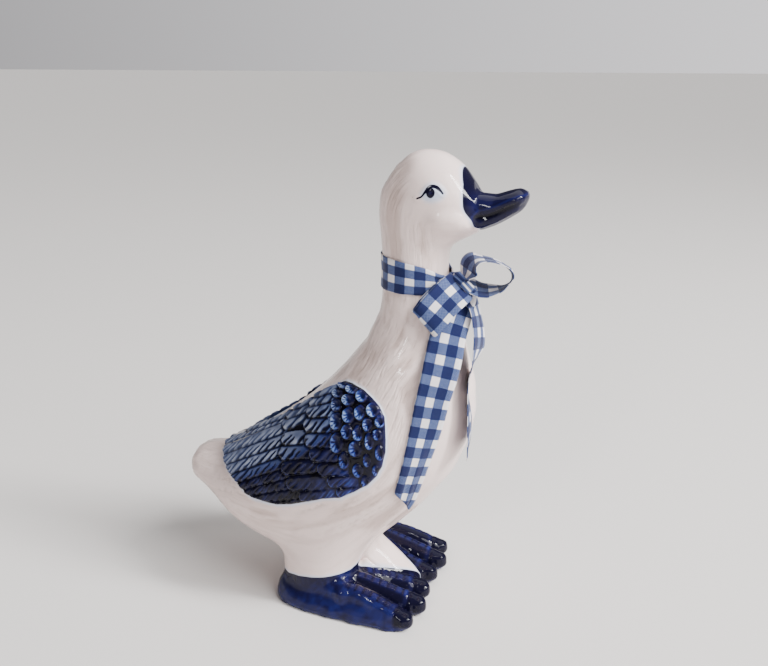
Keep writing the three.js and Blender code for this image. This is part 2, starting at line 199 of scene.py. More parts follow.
back_line = curve_through(BODY_SECTIONS[:, 0:2], SECTION_SAMPLES)
belly_line = curve_through(BODY_SECTIONS[:, 2:4], SECTION_SAMPLES)
half_widths = curve_through(
    np.column_stack([np.arange(len(BODY_SECTIONS)) * 10, BODY_SECTIONS[:, 4]]), SECTION_SAMPLES
)[:, 1]


def body_skin(places):
    """The body's smooth skin under each place: its point, how far along and how far round it is."""
    x, z = places[:, 0], places[:, 2]
    headwards = np.empty((len(places), SECTION_SAMPLES), np.float32)
    for k, (back, belly) in enumerate(zip(back_line, belly_line)):
        run = belly - back
        headwards[:, k] = (run[0] * (z - back[1]) - run[1] * (x - back[0])) / np.hypot(*run)
    passed = np.clip((headwards > 0).sum(axis=1) - 1, 0, SECTION_SAMPLES - 2)
    rows = np.arange(len(places))
    here, ahead = headwards[rows, passed], headwards[rows, passed + 1]
    share = np.clip(here / np.where(here - ahead == 0, 1, here - ahead), 0, 1)[:, None]
    back = back_line[passed] * (1 - share) + back_line[passed + 1] * share
    belly = belly_line[passed] * (1 - share) + belly_line[passed + 1] * share
    half = half_widths[passed] * (1 - share[:, 0]) + half_widths[passed + 1] * share[:, 0]
    centre, reach = (back + belly) / 2, (back - belly) / 2
    offset = places[:, [0, 2]] - centre
    up = np.einsum("ij,ij->i", offset, reach) / np.einsum("ij,ij->i", reach, reach)
    out = np.abs(places[:, 1]) / half
    angle = np.arctan2(out, up)
    side = np.where(places[:, 1] < 0, -1, 1)
    skin = np.column_stack([
        centre[:, 0] + reach[:, 0] * np.cos(angle),
        side * half * np.sin(angle),
        centre[:, 1] + reach[:, 1] * np.cos(angle),
    ])
    return skin, (passed + share[:, 0]) / (SECTION_SAMPLES - 1), angle, half, np.hypot(up, out)


def read_vectors(items, field):
    """One vector of each vertex or face of a mesh."""
    flat = np.empty(len(items) * 3, np.float32)
    items.foreach_get(field, flat)
    return flat.reshape(-1, 3)


def move_mesh(mesh, points):
    """Puts the mesh's vertices at places in millimetres."""
    mesh.vertices.foreach_set("co", (points / 1000).astype(np.float32).ravel())
    mesh.update()


def mesh_normals(mesh):
    return read_vectors(mesh.vertex_normals, "vector").astype(float)


def relax(points, edges, weight, rounds):
    """Draws each point towards the middle of its neighbours."""
    points = points.copy()
    i, j = np.concatenate([edges, edges[:, ::-1]]).T
    degree = np.bincount(i, minlength=len(points)).clip(1)
    columns = points.reshape(len(points), -1)
    pull = 0.5 * np.broadcast_to(weight, len(points))
    for _ in range(rounds):
        for k in range(columns.shape[1]):
            mean = np.bincount(i, columns[j, k], len(points)) / degree
            columns[:, k] += pull * (mean - columns[:, k])
    return columns.reshape(points.shape)


def smooth_out(points, edges, weight, rounds):
    """Flattens small bumps of a skin without drawing it in."""
    for _ in range(rounds):
        points = relax(points, edges, weight, 1)
        points = relax(points, edges, np.multiply(weight, -1.06), 1)
    return points


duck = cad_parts["duck"].copy()
duck.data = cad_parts["duck"].data.copy()
duck.name = duck.data.name = "porcelain_duck"
duck.parent = None
bpy.context.scene.collection.objects.link(duck)
bpy.context.view_layer.objects.active = duck
duck.select_set(True)
bpy.ops.object.mode_set(mode="EDIT")
bpy.ops.mesh.select_all(action="SELECT")
bpy.ops.mesh.remove_doubles(threshold=0.00001)
bpy.ops.object.mode_set(mode="OBJECT")
even_skin = duck.modifiers.new("even_skin", "REMESH")
even_skin.mode = "VOXEL"
even_skin.voxel_size = SKIN_VOXEL
bpy.ops.object.modifier_apply(modifier=even_skin.name)
duck_mesh = duck.data


def wing_plane(points):
    """Along and across on the plane of either wing."""
    across = -np.abs(points[:, 1]) * math.cos(WING_LEAN) + points[:, 2] * math.sin(WING_LEAN)
    return np.column_stack([points[:, 0], across])


def refine(mesh, chosen, cuts):
    """Divides the faces round the chosen places more finely."""
    picked = chosen(read_vectors(mesh.polygons, "center") * 1000.0)
    bpy.ops.object.mode_set(mode="EDIT")
    bpy.ops.mesh.select_mode(type="FACE")
    bpy.ops.mesh.select_all(action="DESELECT")
    bpy.ops.object.mode_set(mode="OBJECT")
    mesh.polygons.foreach_set("select", picked)
    bpy.ops.object.mode_set(mode="EDIT")
    bpy.ops.mesh.subdivide(number_cuts=cuts)
    bpy.ops.object.mode_set(mode="OBJECT")


def on_wings(middles):
    return inside_outline(wing_plane(middles), WING_OUTLINE) > -1.5


def on_feet_and_bill(middles):
    x, _, z = middles.T
    foot_top = (z > 1.5) & (z < 24) & (x > -4)
    bill = (x > 51) & (z > 194)
    return foot_top | bill


def on_eyes(middles):
    x, y, z = middles.T
    return (np.abs(x - 39.5) < 7.5) & (np.abs(z - 214) < 5.5) & (np.abs(y) > 12)


refine(duck_mesh, on_wings, 2)
refine(duck_mesh, on_feet_and_bill, 1)
refine(duck_mesh, on_eyes, 3)

points = read_vectors(duck_mesh.vertices, "co").astype(float) * 1000
edges = np.empty(len(duck_mesh.edges) * 2, np.int32)
duck_mesh.edges.foreach_get("vertices", edges)
edges = edges.reshape(-1, 2)
side = np.where(points[:, 1] < 0, -1.0, 1.0)

# The plain form: the body's smooth oval skin, with the legs, feet and bill blended into it.
skin, along_body, angle, half, reach = body_skin(points)
stands_off = np.linalg.norm(points - skin, axis=1) * np.sign(reach - 1)
wing_edge = inside_outline(wing_plane(points), WING_OUTLINE)
is_body = 1 - ease(0.45, 1.1, np.abs(stands_off))
is_body = np.where(wing_edge > -1.2, 1.0, is_body)
is_body = np.where(points[:, 2] < 17, 0.0, is_body)
is_body = relax(is_body, edges, 1, 6)
points = points + (skin - points) * is_body[:, None]
x, y, z = points.T
low_zone = ease(20, 30, z)
bill_zone = ease(53, 58, x) * ease(190, 196, z)
blend_zone = ease(0.02, 0.3, relax(is_body, edges, 1, 30) * (1 - relax(is_body, edges, 1, 30)) * 4)
leg_zone = low_zone * (1 - ease(62, 74, z)) * (wing_edge < -1)
points = relax(points, edges, np.clip(leg_zone * np.maximum(1 - is_body, blend_zone), 0, 1), 90)
points = relax(points, edges, leg_zone * 0.8, 14)
sole = points[:, 2] < SOLE_HEIGHT
points = smooth_out(points, edges, np.maximum(bill_zone, 1 - low_zone) * ~sole, 9)
hem = ease(9, 3, points[:, 2]) * ease(33, 25, points[:, 0])
points[:, 0:2] = relax(points[:, 0:2], edges, hem, 60)
points[sole, 2] = 0
move_mesh(duck_mesh, points)
duck_mesh.polygons.foreach_set("use_smooth", np.ones(len(duck_mesh.polygons), bool))

# Each foot has three round toes: x, distance from the middle and height of the crest, outer toe first.
TOES = (
    np.array([
        [1, 31, 17.8], [9, 31.8, 17], [17.4, 32.6, 15.2], [25, 33.4, 12.6], [31, 34.2, 10.2],
        [34.7, 35, 8.6],
    ]),
    np.array([
        [2, 22, 19], [10, 22, 17.4], [19, 21.8, 15], [28, 21.5, 12.4], [33, 21.3, 11], [37.6, 21, 9.4],
    ]),
    np.array([
        [4, 17, 18.2], [9, 15, 16.4], [14, 13, 14.8], [21, 10.6, 12.7], [27, 9.2, 11.4], [32, 8, 10.2],
        [35.8, 7, 9.2],
    ]),
)
TOE_ROUND = 5.4
# Crests of the solid's own foot, which the toes are fitted over, and of the web.
SOLID_CREST = np.array([[-6, 18.2], [4, 17.3], [11, 14.3], [18, 11.9], [25, 10], [31, 8.7], [35, 9]])
WEB_CREST = np.array([[4, 32], [12, 25], [16.5, 21.2], [23.3, 15.2], [30.8, 10.4], [34, 7.6], [38, 0]])
WEB_ROUND = 0.055


def soft_top(first, second, fill):
    """The higher of two surfaces, the crease between them filled."""
    return (first + second + np.sqrt((first - second) ** 2 + fill)) / 2


x, y, z = points.T
foot_plan = np.column_stack([x, np.abs(y)])
foot_top = np.full(len(points), -9.0)
for toe in TOES:
    toe_gap, _ = near_line(foot_plan, toe[:, 0:2])
    crest = read_line(x, toe, 2)
    roll = np.sqrt(np.maximum(TOE_ROUND**2 - toe_gap**2, 0)) - 2.5 * np.maximum(toe_gap - TOE_ROUND, 0)
    toe_top = crest - TOE_ROUND + roll
    foot_top = soft_top(foot_top, toe_top, 0.8)
web_top = read_line(x, WEB_CREST) - WEB_ROUND * foot_plan[:, 1] ** 2
foot_top = soft_top(foot_top, web_top, 1.2)
faces_up = relax(mesh_normals(duck_mesh)[:, 2], edges, 1, 3)
on_foot = (z > 1.5) & (z < 27)
lift_top = on_foot * ease(0.1, 0.5, faces_up) * ease(2, 8, x)
outer_crest = read_line(x, TOES[0])
stretch = read_line(x, TOES[0], 2) / read_line(x, SOLID_CREST)
stretch = 1 + (stretch - 1) * ease(-2, 8, x) * (1 - ease(32, 37, x))
on_wall = on_foot & (foot_plan[:, 1] > outer_crest)
wall_top = np.where(on_wall, z * stretch, z)
points[:, 2] = wall_top + (foot_top - wall_top) * lift_top
front_foot = on_foot * ease(-4, 4, x)
points = smooth_out(points, edges, front_foot, 7)

# The bill droops a little, and its tip is blunt.
BILL_DROOP = 0.85
BLUNT_TIP = 0.4
on_bill = (points[:, 2] > 185) * ease(48, 56, points[:, 0])
points[:, 2] -= BILL_DROOP * on_bill * ease(78, 66, points[:, 0])
points[:, 0] -= BLUNT_TIP * on_bill * ease(76, 80.5, points[:, 0]) * ease(213, 208, points[:, 2])
points = smooth_out(points, edges, on_bill, 5)
move_mesh(duck_mesh, points)
x, y, z = points.T

# Feathers of the wing, from the lowest to the topmost: root along, across, tip along, across, width.
FLIGHT_FEATHERS = [
    [-17.7, 37.4, -39.7, 32.4, 5.4], [-22, 39.8, -46.4, 34, 6], [-23.8, 44.4, -51.4, 36.6, 6.4],
    [-26.2, 48.9, -55.5, 38.8, 6.6], [-27.6, 53.5, -59.5, 41.3, 6.6], [-30.7, 58.8, -64, 44.8, 6.8],
    [-31.3, 64.2, -69, 49.3, 7], [-32.9, 69.8, -73.5, 54.3, 7], [-36.3, 75.5, -77, 59, 6.6],
    [-33.4, 78.4, -64, 67.2, 5.6],
]
SECOND_COVERTS = [
    [-1.3, 43.4, -17.5, 39.2, 6.4], [-5.6, 47.4, -24.3, 43.9, 7.4], [-10.1, 54.5, -27.8, 50.4, 7.4],
    [-13.2, 60.4, -30.7, 57.2, 7.4], [-17.1, 66.6, -30.8, 63.9, 7], [-19.7, 75.9, -33.1, 70.6, 6.8],
    [-19.3, 82, -33.9, 75.8, 6], [-17.8, 86.9, -31.5, 80.4, 5],
]
FIRST_COVERTS = [
    [13.6, 47.1, 2.2, 43.4, 6], [10, 50.6, -2.3, 48.2, 6], [5.5, 55, -7.4, 52.8, 6.6],
    [0.1, 60.7, -12.4, 59, 7], [-3.7, 66.7, -16.2, 65.3, 7.6], [-2.4, 74, -18.3, 72.2, 8],
    [-4.1, 80.5, -18.6, 78.6, 7], [-4.7, 87.4, -18.9, 83.2, 5.6], [-4.4, 91.6, -17.9, 87.4, 4.6],
]
# The small scallops of its shoulder: middle along, across, width and height.
SHOULDER_SCALLOPS = [
    [1.4, 93.4, 6, 4], [-0.8, 88.8, 6, 3.8], [-0.3, 83.2, 5.2, 5.4], [7, 91.4, 5.8, 4.6],
    [12.6, 88.8, 5.2, 5.6], [5.9, 86.2, 6.2, 5], [18.7, 83, 5.8, 6], [12.6, 81.1, 5, 6.2],
    [7, 79.3, 5.6, 6.9], [22.3, 78.3, 4.2, 5], [16.7, 76.3, 4, 6], [0.8, 75.8, 5.6, 7.6],
    [12.4, 71.7, 4.4, 6.7], [6.8, 71.7, 5, 6.2], [21.4, 72.4, 4.2, 4.4], [17.9, 69, 3.8, 7],
    [2.2, 66.2, 6, 8.6], [11.5, 64.8, 6, 6.4], [22.7, 64.7, 3.8, 6], [17, 60.4, 3.4, 5],
    [6.3, 58.9, 4.8, 7], [21.3, 56.6, 3.8, 4.4], [12.9, 55.4, 4.8, 5.4], [16.2, 50.9, 3.8, 5],
]
BARB_DIRECTION = math.radians(52)


def chance(number, seed):
    """A fixed share from 0 to 1 for each number."""
    return np.modf(np.abs(np.sin(number * 12.9898 + seed * 78.233)) * 4375.85)[0]


def lay_feather(places, feather, hides):
    """Distance inside a long round-tipped feather, share along it, and distance above its middle."""
    root, tip, half = np.array(feather[0:2]), np.array(feather[2:4]), feather[4] / 2
    run = tip - root
    length = np.hypot(*run)
    run /= length
    along = (places - root) @ run
    above = (places - root) @ np.array([run[1], -run[0]])
    round_from = length - half * 1.15
    past = np.maximum(along - round_from, 0) / 1.15
    inside = half - np.hypot(above, past)
    inside = np.where(along < -hides, -9, inside)
    return inside, np.clip(along / length, 0, 1), above


in_wing = np.flatnonzero(wing_edge > -2.5)
on_plane = wing_plane(points[in_wing])
edge = wing_edge[in_wing]
wander = drift(np.column_stack([on_plane / 3, side[in_wing]]), 3)
hand = ease(-0.5, 0.5, drift(np.column_stack([on_plane / 4.5, side[in_wing]]), 5))
barb_phase = on_plane @ np.array([math.sin(BARB_DIRECTION), -math.cos(BARB_DIRECTION)])
rise = np.zeros(len(in_wing))
pooled_glaze_and_shade = np.zeros(len(in_wing))
ink = np.full(len(in_wing), 0.97)

# Tone of the paint: thin and pale along the top and the rear, thick and dark low in the middle, with a
# painted sheen, the glaze's reflection of the room, laid into the pale top and rear.
pale_line = np.array([[30, 92], [12, 81], [2, 72], [-14, 61], [-29, 52.5], [-58, 39.5], [-66, 34]])
beyond_line, _ = near_line(on_plane, pale_line)
line_height = read_line(on_plane[:, 0], pale_line[::-1])
above_line = beyond_line * np.where(on_plane[:, 1] > line_height, 1, -1)
thin_paint_and_sheen = ease(-5, 6, above_line + 1.6 * wander)
cobalt = ease(-12, 6, on_plane[:, 0] - 0.15 * (on_plane[:, 1] - 60))
soft = np.clip(ease(-34, -66, on_plane[:, 0]) + ease(10, 22, above_line), 0, 1) * thin_paint_and_sheen
for row, feathers, stroke_pitch, hides in (
    (0, FLIGHT_FEATHERS, 2.45, 6),
    (1, SECOND_COVERTS, 3, 4),
    (2, FIRST_COVERTS, 3, 3),
):
    for feather in feathers:
        inside, share, above = lay_feather(on_plane, feather, hides)
        half_width = feather[4] / 2
        covered = inside > 0
        beside = (inside <= 0) & (inside > -1.3) & (share > 0)
        # Beside each feather's edge the paint is darkened: glaze pooled in the step and painted shade
        # under the overlapping feather.
        pooled_glaze_and_shade[beside] = np.maximum(pooled_glaze_and_shade[beside], 0.9 * (1 + inside[beside] / 1.3))
        phase = barb_phase / stroke_pitch + 0.16 * wander + 0.37 * feather[1]
        turn = np.floor(phase)
        low_share = np.clip(0.5 - above / half_width / 2, 0, 1)
        shift = 0.3 * (chance(turn, 3 + row) - 0.5)
        taper = np.clip((low_share - 0.08 - 0.34 * chance(turn, 1 + row)) / 0.8, 0, 1)
        broad_half = 0.07 + (0.2 + 0.12 * chance(turn, 2 + row)) * np.sqrt(taper)
        off_stroke = np.abs(phase - turn - 0.5 - shift)
        stroke = 1 - ease(broad_half * 0.55, broad_half * 1.15 + 0.03, off_stroke)
        stroke *= ease(0, 0.12, taper)
        # In the thick paint each feather's tip is painted lighter: thin glaze on its raised rim and a
        # painted highlight.
        tip_rim = ease(0.7, 0.9, share) * (1 - ease(0.6, 1.3, inside)) * ease(0, 0.3, inside)
        # Each feather is painted darker along its top, as painted shade under the feather above, and a
        # dark line along its lower edge is painted shade under it.
        light = 0.42 - 0.2 * ease(0.2, 0.8, low_share) + 0.08 * wander + 0.04 * soft
        shade = 0.9 - 0.34 * soft
        tone = light + (shade - light) * stroke
        tone += (0.5 - 0.2 * soft) * ease(0.75, 0.15, inside) * ease(0.4, 0.75, low_share)
        deep = 0.95 - (0.06 + 0.14 * cobalt) * ease(0.1, 0.45, low_share) + 0.06 * wander
        streak = ease(0.12, 0.02, np.abs(off_stroke - broad_half)) * ease(0.3, 0.9, inside)
        streak *= ease(0.2, 0.6, low_share) * hand
        deep += 0.06 * stroke - streak * (0.2 if row else 0.14) - (0.26 if row else 0.1) * tip_rim
        dark = tone * thin_paint_and_sheen + deep * (1 - thin_paint_and_sheen)
        rise[covered] = (
            (0.3 + 1.2 * share) * ease(0, 1.1, inside) - 0.5 * stroke + 0.12 * tip_rim
        )[covered]
        ink[covered] = dark[covered]
        pooled_glaze_and_shade[covered] = 0

for middle_along, middle_across, width, height in SHOULDER_SCALLOPS:
    width, height = 1.08 * width, 1.12 * height
    forward = (on_plane[:, 0] - middle_along) / (width / 2)
    upward = (on_plane[:, 1] - middle_across) / (height / 2)
    outward = np.hypot(forward, upward)
    inside = (1 - outward) * min(width, height) / 2
    covered = inside > 0
    beside = (inside <= 0) & (inside > -1)
    pooled_glaze_and_shade[beside] = np.maximum(pooled_glaze_and_shade[beside], 1 + inside[beside])
    sweep = np.arctan2(upward, forward)
    seed = middle_along * 3.1 + middle_across
    teeth = 7 + np.floor(3 * chance(seed, 11))
    tooth = np.abs(((sweep / (2 * math.pi) * teeth + chance(seed, 12)) % 1) - 0.5) * 2
    around = np.cos(sweep - math.radians(190 + 60 * chance(seed, 13)))
    rim_from = 0.74 - 0.5 * ease(0.75, 0.3, tooth) * ease(-0.2, 0.7, around)
    crescent = ease(rim_from - 0.06, rim_from + 0.06, outward) * ease(0.02, 0.14, 1 - outward)
    crescent *= ease(-0.35, 0.3, around + 0.3 * wander)
    high = ease(56, 94, middle_across + 0.12 * middle_along)
    tone = 0.84 - 0.14 * high + 0.12 * ease(-0.3, 0.5, forward) - 0.05 * chance(seed, 14)
    # A crescent of each scallop's rim is painted lighter, more so high up: thin glaze on the raised rim
    # and a painted highlight.
    rim_glaze_and_highlight = crescent * (0.2 + 0.28 * high + 0.16 * chance(seed, 15))
    dome = ease(0, 0.6, inside) - 0.9 * ease(0.8, 0.25, outward)
    rise[covered] = (dome + 0.6 * crescent)[covered]
    ink[covered] = (tone - rim_glaze_and_highlight)[covered]
    pooled_glaze_and_shade[covered] = 0

# The rolled rim of the wing is left plain, and the paint is thinner along its front.
RIM_WIDTH = 3.2
GLAZE_DEPTH = 0.22
front_rim = np.clip(ease(10, 20, on_plane[:, 0]) + ease(52, 42, on_plane[:, 1]) * cobalt, 0, 1)
# Where glaze pools beside a feather or scallop the ink is darker, part pooled glaze and part painted
# shade.
ink = np.where(pooled_glaze_and_shade > 0, ink + (0.99 - ink) * pooled_glaze_and_shade, ink)
on_rim = (rise == 0) & (edge < RIM_WIDTH)
ink = np.where(on_rim, 0.97 - 0.13 * front_rim * ease(RIM_WIDTH, 1.2, edge), ink)
ink += 0.05 * wander + 0.3 * ease(1.2, 0.2, edge) * (1 - front_rim)
relief = np.full(len(points), GLAZE_DEPTH)
relief[in_wing] += ease(-0.3, 0.9, edge) * WING_RISE + (rise - 0.4 * pooled_glaze_and_shade) * ease(0, 1, edge)
paint_depth = np.full(len(points), -30.0)
paint_depth[in_wing] = edge
paint_ink = np.full(len(points), 0.7)
paint_ink[in_wing] = ink
# Slate: a greyer tone over the rear and top of the wing, part thin paint and part painted sheen.
slate_and_sheen = np.zeros(len(points))
slate_and_sheen[in_wing] = np.maximum(
    ease(12, -16, on_plane[:, 0]) * (0.35 + 0.65 * thin_paint_and_sheen), 0.7 * ease(6, 20, above_line)
)

# Plumage: soft carved strokes that run from the head down the neck and back along the flanks.
body_length = np.concatenate([[0], np.cumsum(np.linalg.norm(
    np.diff((back_line + belly_line) / 2, axis=0), axis=1
))])
length_along = np.interp(along_body, np.linspace(0, 1, SECTION_SAMPLES), body_length)
length_round = angle * np.minimum(half, 30) * 1.1
sway = drift(np.column_stack([length_along / 34, length_round / 20, side * 4]), 11)
slant = np.clip((170 - length_along) / 170, 0, 1)
across_stroke = length_round + 3 * sway - slant * 0.3 * (length_along - 60)
broad = drift(np.column_stack([length_along / 30, across_stroke / 3.4, side * 5]), 21)
fine = drift(np.column_stack([length_along / 17, across_stroke / 1.7, side * 7]), 31)
groove = ease(0.42, 0.05, np.abs(broad + 0.12)) * ease(-0.5, 0.15, drift(
    np.column_stack([length_along / 15, length_round / 11, side]), 61
))
plumage = -0.34 * groove + 0.1 * broad - 0.26 * ease(0.3, 0, np.abs(fine)) * ease(-0.6, 0.4, broad)
face = ease(196, 208, z) * ease(22, 34, x)
fades = (1 - face) * low_zone * (1 - bill_zone) * ease(-0.6, -2, wing_edge)
fades *= 1 - 0.75 * leg_zone * ease(60, 30, z)
fades *= 1 - ease(32, 46, x)
plumage *= fades * (1 + 0.6 * ease(-66, -84, x))
relief += plumage
stroke_way = np.column_stack([length_along / 11, across_stroke / 1.7, 5 * side])

# The bill: a rolled lip with the mouth cut into it, below a hollowed top, all painted.
BILL_PAINT = np.array([
    [60, 198], [57.6, 198.8], [57, 200.1], [56.4, 202.2], [54.2, 205.7], [53.4, 207.8], [52.8, 213.7],
    [52.4, 217.4], [50.3, 224.1], [49.8, 232],
])
LIP_ROLL = np.array([
    [56.1, 201], [56.4, 203.6], [58.6, 206.4], [62, 207.2], [67, 208.8], [72, 211.3], [76.5, 213.2],
    [81.5, 214], [83, 209], [79, 206.3], [73.5, 203], [67, 200], [61, 197.6], [57.6, 198.4],
])
MOUTH_LINE = np.array([[58.6, 203.2], [62.7, 203.3], [67, 205.2], [72, 207.9], [77.5, 210.4], [83, 211]])
LIP_RISE = 0.55
MOUTH_DEPTH = 0.6
side_view = points[:, [0, 2]]
bill_edge = x - read_line(z, BILL_PAINT[:, ::-1])
bill_edge = np.where((z > 196) & (x > 40), bill_edge, -30)
roll_edge = inside_outline(side_view, LIP_ROLL)
mouth_gap, _ = near_line(side_view, MOUTH_LINE)
faces_side = np.abs(relax(mesh_normals(duck_mesh)[:, 1], edges, 1, 2))
bill_side = ease(-3, 0, bill_edge) * ease(0.35, 0.75, faces_side)
tip_fade = ease(79, 73, x)
relief += bill_side * (
    LIP_RISE * ease(-1.3, 1.6, roll_edge) - MOUTH_DEPTH * ease(1.5, 0.1, mouth_gap) * tip_fade
)
# The bill is painted a little lighter low on its side; along the lip's edge it is painted lighter, a
# painted highlight, and in the mouth groove darker, painted shade.
bill_ink = 0.94 - 0.12 * ease(0, 4, bill_edge) * ease(217, 208, z)
bill_ink = np.where(
    roll_edge > -0.6,
    0.88 - 0.1 * ease(0.8, 0.1, np.abs(roll_edge - 0.4)) + 0.1 * ease(2, 0.6, mouth_gap) * tip_fade,
    bill_ink,
)
on_bill_paint = bill_edge > np.maximum(paint_depth, -6)
paint_ink = np.where(on_bill_paint, bill_ink, paint_ink)
paint_depth = np.maximum(paint_depth, bill_edge)

# The feet: three toes each with a row of square scutes and a nail, an ankle knuckle, all painted.
FOOT_PAINT_TOP = np.array([
    [-40, 15.2], [-30.8, 16.3], [-24.6, 18], [-17.1, 19.2], [-10.7, 19.9], [-4.2, 21], [0.5, 22],
    [3.5, 22.6], [8, 26], [40, 40],
])
FOOT_PAINT_INNER = np.array([
    [-40, 8], [-28, 8], [-14, 12], [0, 16.3], [3, 16.8], [5.3, 15.8], [8.5, 14.4], [11.8, 12.7],
    [15.1, 10.9], [18.8, 8.8], [22.5, 6.3], [25.7, 4.3], [29, 2.1], [31.5, 0.4], [34, 0],
])
SCUTE_PITCH = 4.0
SCUTE_RISE = 0.26
NAIL_LENGTH = 4.2
NAIL_RISE = 0.2
KNUCKLE_MIDDLE = [1.4, 13.4]
KNUCKLE_RISE = 1.3
foot_edge = read_line(x, FOOT_PAINT_TOP) - z
inner_gap = foot_plan[:, 1] - read_line(x, FOOT_PAINT_INNER)
foot_edge = np.minimum(foot_edge, inner_gap * 0.8)
foot_edge = np.where(z < 30, foot_edge, -30)
mottle = drift(points / 2.6 + 9, 41) * 0.5 + drift(points / 1.5, 43) * 0.5
foot_ink = 0.78 + 0.11 * mottle + 0.06 * ease(0, -26, x) * ease(4, 13, z)
foot_ink += 0.06 * ease(13, 18, z) * ease(4, -6, x)
on_top = ease(2, 4.5, z) * ease(1, 7, x) * (foot_edge > 0)
toe_relief = np.zeros(len(points))
toe_ink = np.full(len(points), 0.95)
for toe in TOES:
    toe_gap, toe_share = near_line(foot_plan, toe[:, 0:2])
    outwards = foot_plan[:, 1] - read_line(x, toe)
    toe_length = np.linalg.norm(np.diff(toe[:, 0:2], axis=0), axis=1).sum()
    reached = toe_share * toe_length
    outer = toe[0, 1] > 30
    row_gap = np.abs(outwards - (1.7 if outer else 0.6))
    count = reached / SCUTE_PITCH
    off_middle = np.abs(count - np.floor(count) - 0.5) * SCUTE_PITCH
    square = np.minimum(1.65 - off_middle, 2.2 - row_gap)
    scutes = ease(3.5, 5, reached) * ease(toe_length - 4.5, toe_length - 6, reached)
    scute = ease(-0.6, 0.7, square) * scutes
    past_tip = reached - toe_length
    nail = ease(-NAIL_LENGTH, -3.4, past_tip) * (toe_gap < 5.6)
    cuticle = ease(0.8, 0.1, np.abs(past_tip + 4)) * (toe_gap < 5) * (toe_gap > 0.1)
    carving = SCUTE_RISE * scute + NAIL_RISE * nail - 0.25 * cuticle
    toe_relief = np.where(toe_gap < 5.2, carving, toe_relief)
    before_nail = ease(-7.5, -6, past_tip) * ease(-NAIL_LENGTH, -5, past_tip)
    soft_nail = ease(-6, -2, past_tip)
    here = 0.96 - 0.19 * scute * (0.6 + 0.4 * chance(np.floor(count), toe[0, 1])) - 0.11 * before_nail
    here = np.where(outer & (outwards > 3.2), foot_ink + 0.2 * soft_nail, here)
    toe_ink = np.where(toe_gap < (9 if outer else 5.2), np.minimum(here, 0.95), toe_ink)
relief += toe_relief * on_top
foot_ink = foot_ink * (1 - on_top) + toe_ink * on_top
knuckle = np.linalg.norm(side_view - KNUCKLE_MIDDLE, axis=1)
relief += KNUCKLE_RISE * ease(5, 0.6, knuckle) * (foot_plan[:, 1] > 26)
foot_ink -= 0.3 * ease(1.3, 0.3, z) * (z > 0.1)
on_foot_paint = foot_edge > np.maximum(paint_depth, -6)
paint_ink = np.where(on_foot_paint, foot_ink, paint_ink)
paint_depth = np.maximum(paint_depth, foot_edge)

# The eyes: a lid line and a round pupil drawn with the brush, on a low bulge, and one fleck of glaze.
LID_LINE = np.array([
    [33.9, 211.6], [35.8, 212.4], [37.4, 214.3], [38.9, 216.3], [40.3, 217], [42.2, 216.7], [44, 215.3],
    [45.1, 214.1],
])
EYE_WHITE = np.array([
    [37.3, 213.4], [38.9, 216], [40.3, 216.9], [42.2, 216.5], [44, 215.1], [44.6, 214], [43.2, 212.6],
    [40.6, 211.9], [38.6, 212.2],
])
PUPIL_REACH = 2
lid_gap, lid_share = near_line(side_view, curve_through(LID_LINE, 30))
lid = 0.42 + 0.34 * ease(0.15, 0.5, lid_share) * ease(1, 0.75, lid_share) - lid_gap
pupil = PUPIL_REACH - np.hypot((x - 40) * 1.08, (z - 214.2) * 0.93)
in_eye = inside_outline(side_view, EYE_WHITE)
fleck = 0.36 - np.hypot(x - 31.6, z - 212)
beside_head = (np.abs(y) > 11) & (z > 205)
eye_paint = np.maximum(lid, np.minimum(pupil, in_eye + 0.5))
eye_paint = np.where(y < 0, np.maximum(eye_paint, fleck), eye_paint)
eye_paint = np.where(beside_head, eye_paint, -30)
on_eye_paint = eye_paint > -1
paint_ink = np.where(on_eye_paint, 0.95 - 0.1 * ease(0.9, 1.8, pupil), paint_ink)
paint_depth = np.maximum(paint_depth, np.where(on_eye_paint, eye_paint, -30))
relief += beside_head * (0.5 * ease(-1.5, 1.5, in_eye) + 0.25 * ease(1.4, 0.3, np.abs(lid_gap - 0.9)))
relief += beside_head * 0.25 * ease(0.9, 0.1, np.hypot(x - 30.4, z - 212.9))

# The cheeks are full. The crown and the tail's end are a little flatter than an oval, the nape fuller.
CHEEK_RISE = 2.5
cheek = np.hypot((x - 47) / 11, (z - 201) / 6.5)
relief += CHEEK_RISE * ease(1.05, 0.3, cheek) * (np.abs(y) > 6) * (1 - bill_side)
for middle_x, middle_z, size, height in ((18, 223, 13, -0.9), (7.6, 148, 9, 0.8), (-99, 56, 9, -1)):
    relief += height * ease(size, size * 0.3, np.hypot(x - middle_x, z - middle_z))
relief[sole] = 0

# The foot of each wall flares softly on to the ground.
WALL_FLARE = 2.2
skirt = relax(mesh_normals(duck_mesh) * [1, 1, 0], edges, 1, 10)
skirt /= np.linalg.norm(skirt, axis=1, keepdims=True) + 0.05
foot_gap = np.min([near_line(foot_plan, toe[:, 0:2])[0] for toe in TOES], axis=0)
flare = WALL_FLARE + 2 * ease(6, -14, x)
skirt *= (ease(12, 0.5, z) * flare * ease(3, 4.5, foot_gap))[:, None]
skirt *= ease(33, 26, x)[:, None]
move_mesh(duck_mesh, points + mesh_normals(duck_mesh) * relief[:, None] + skirt)

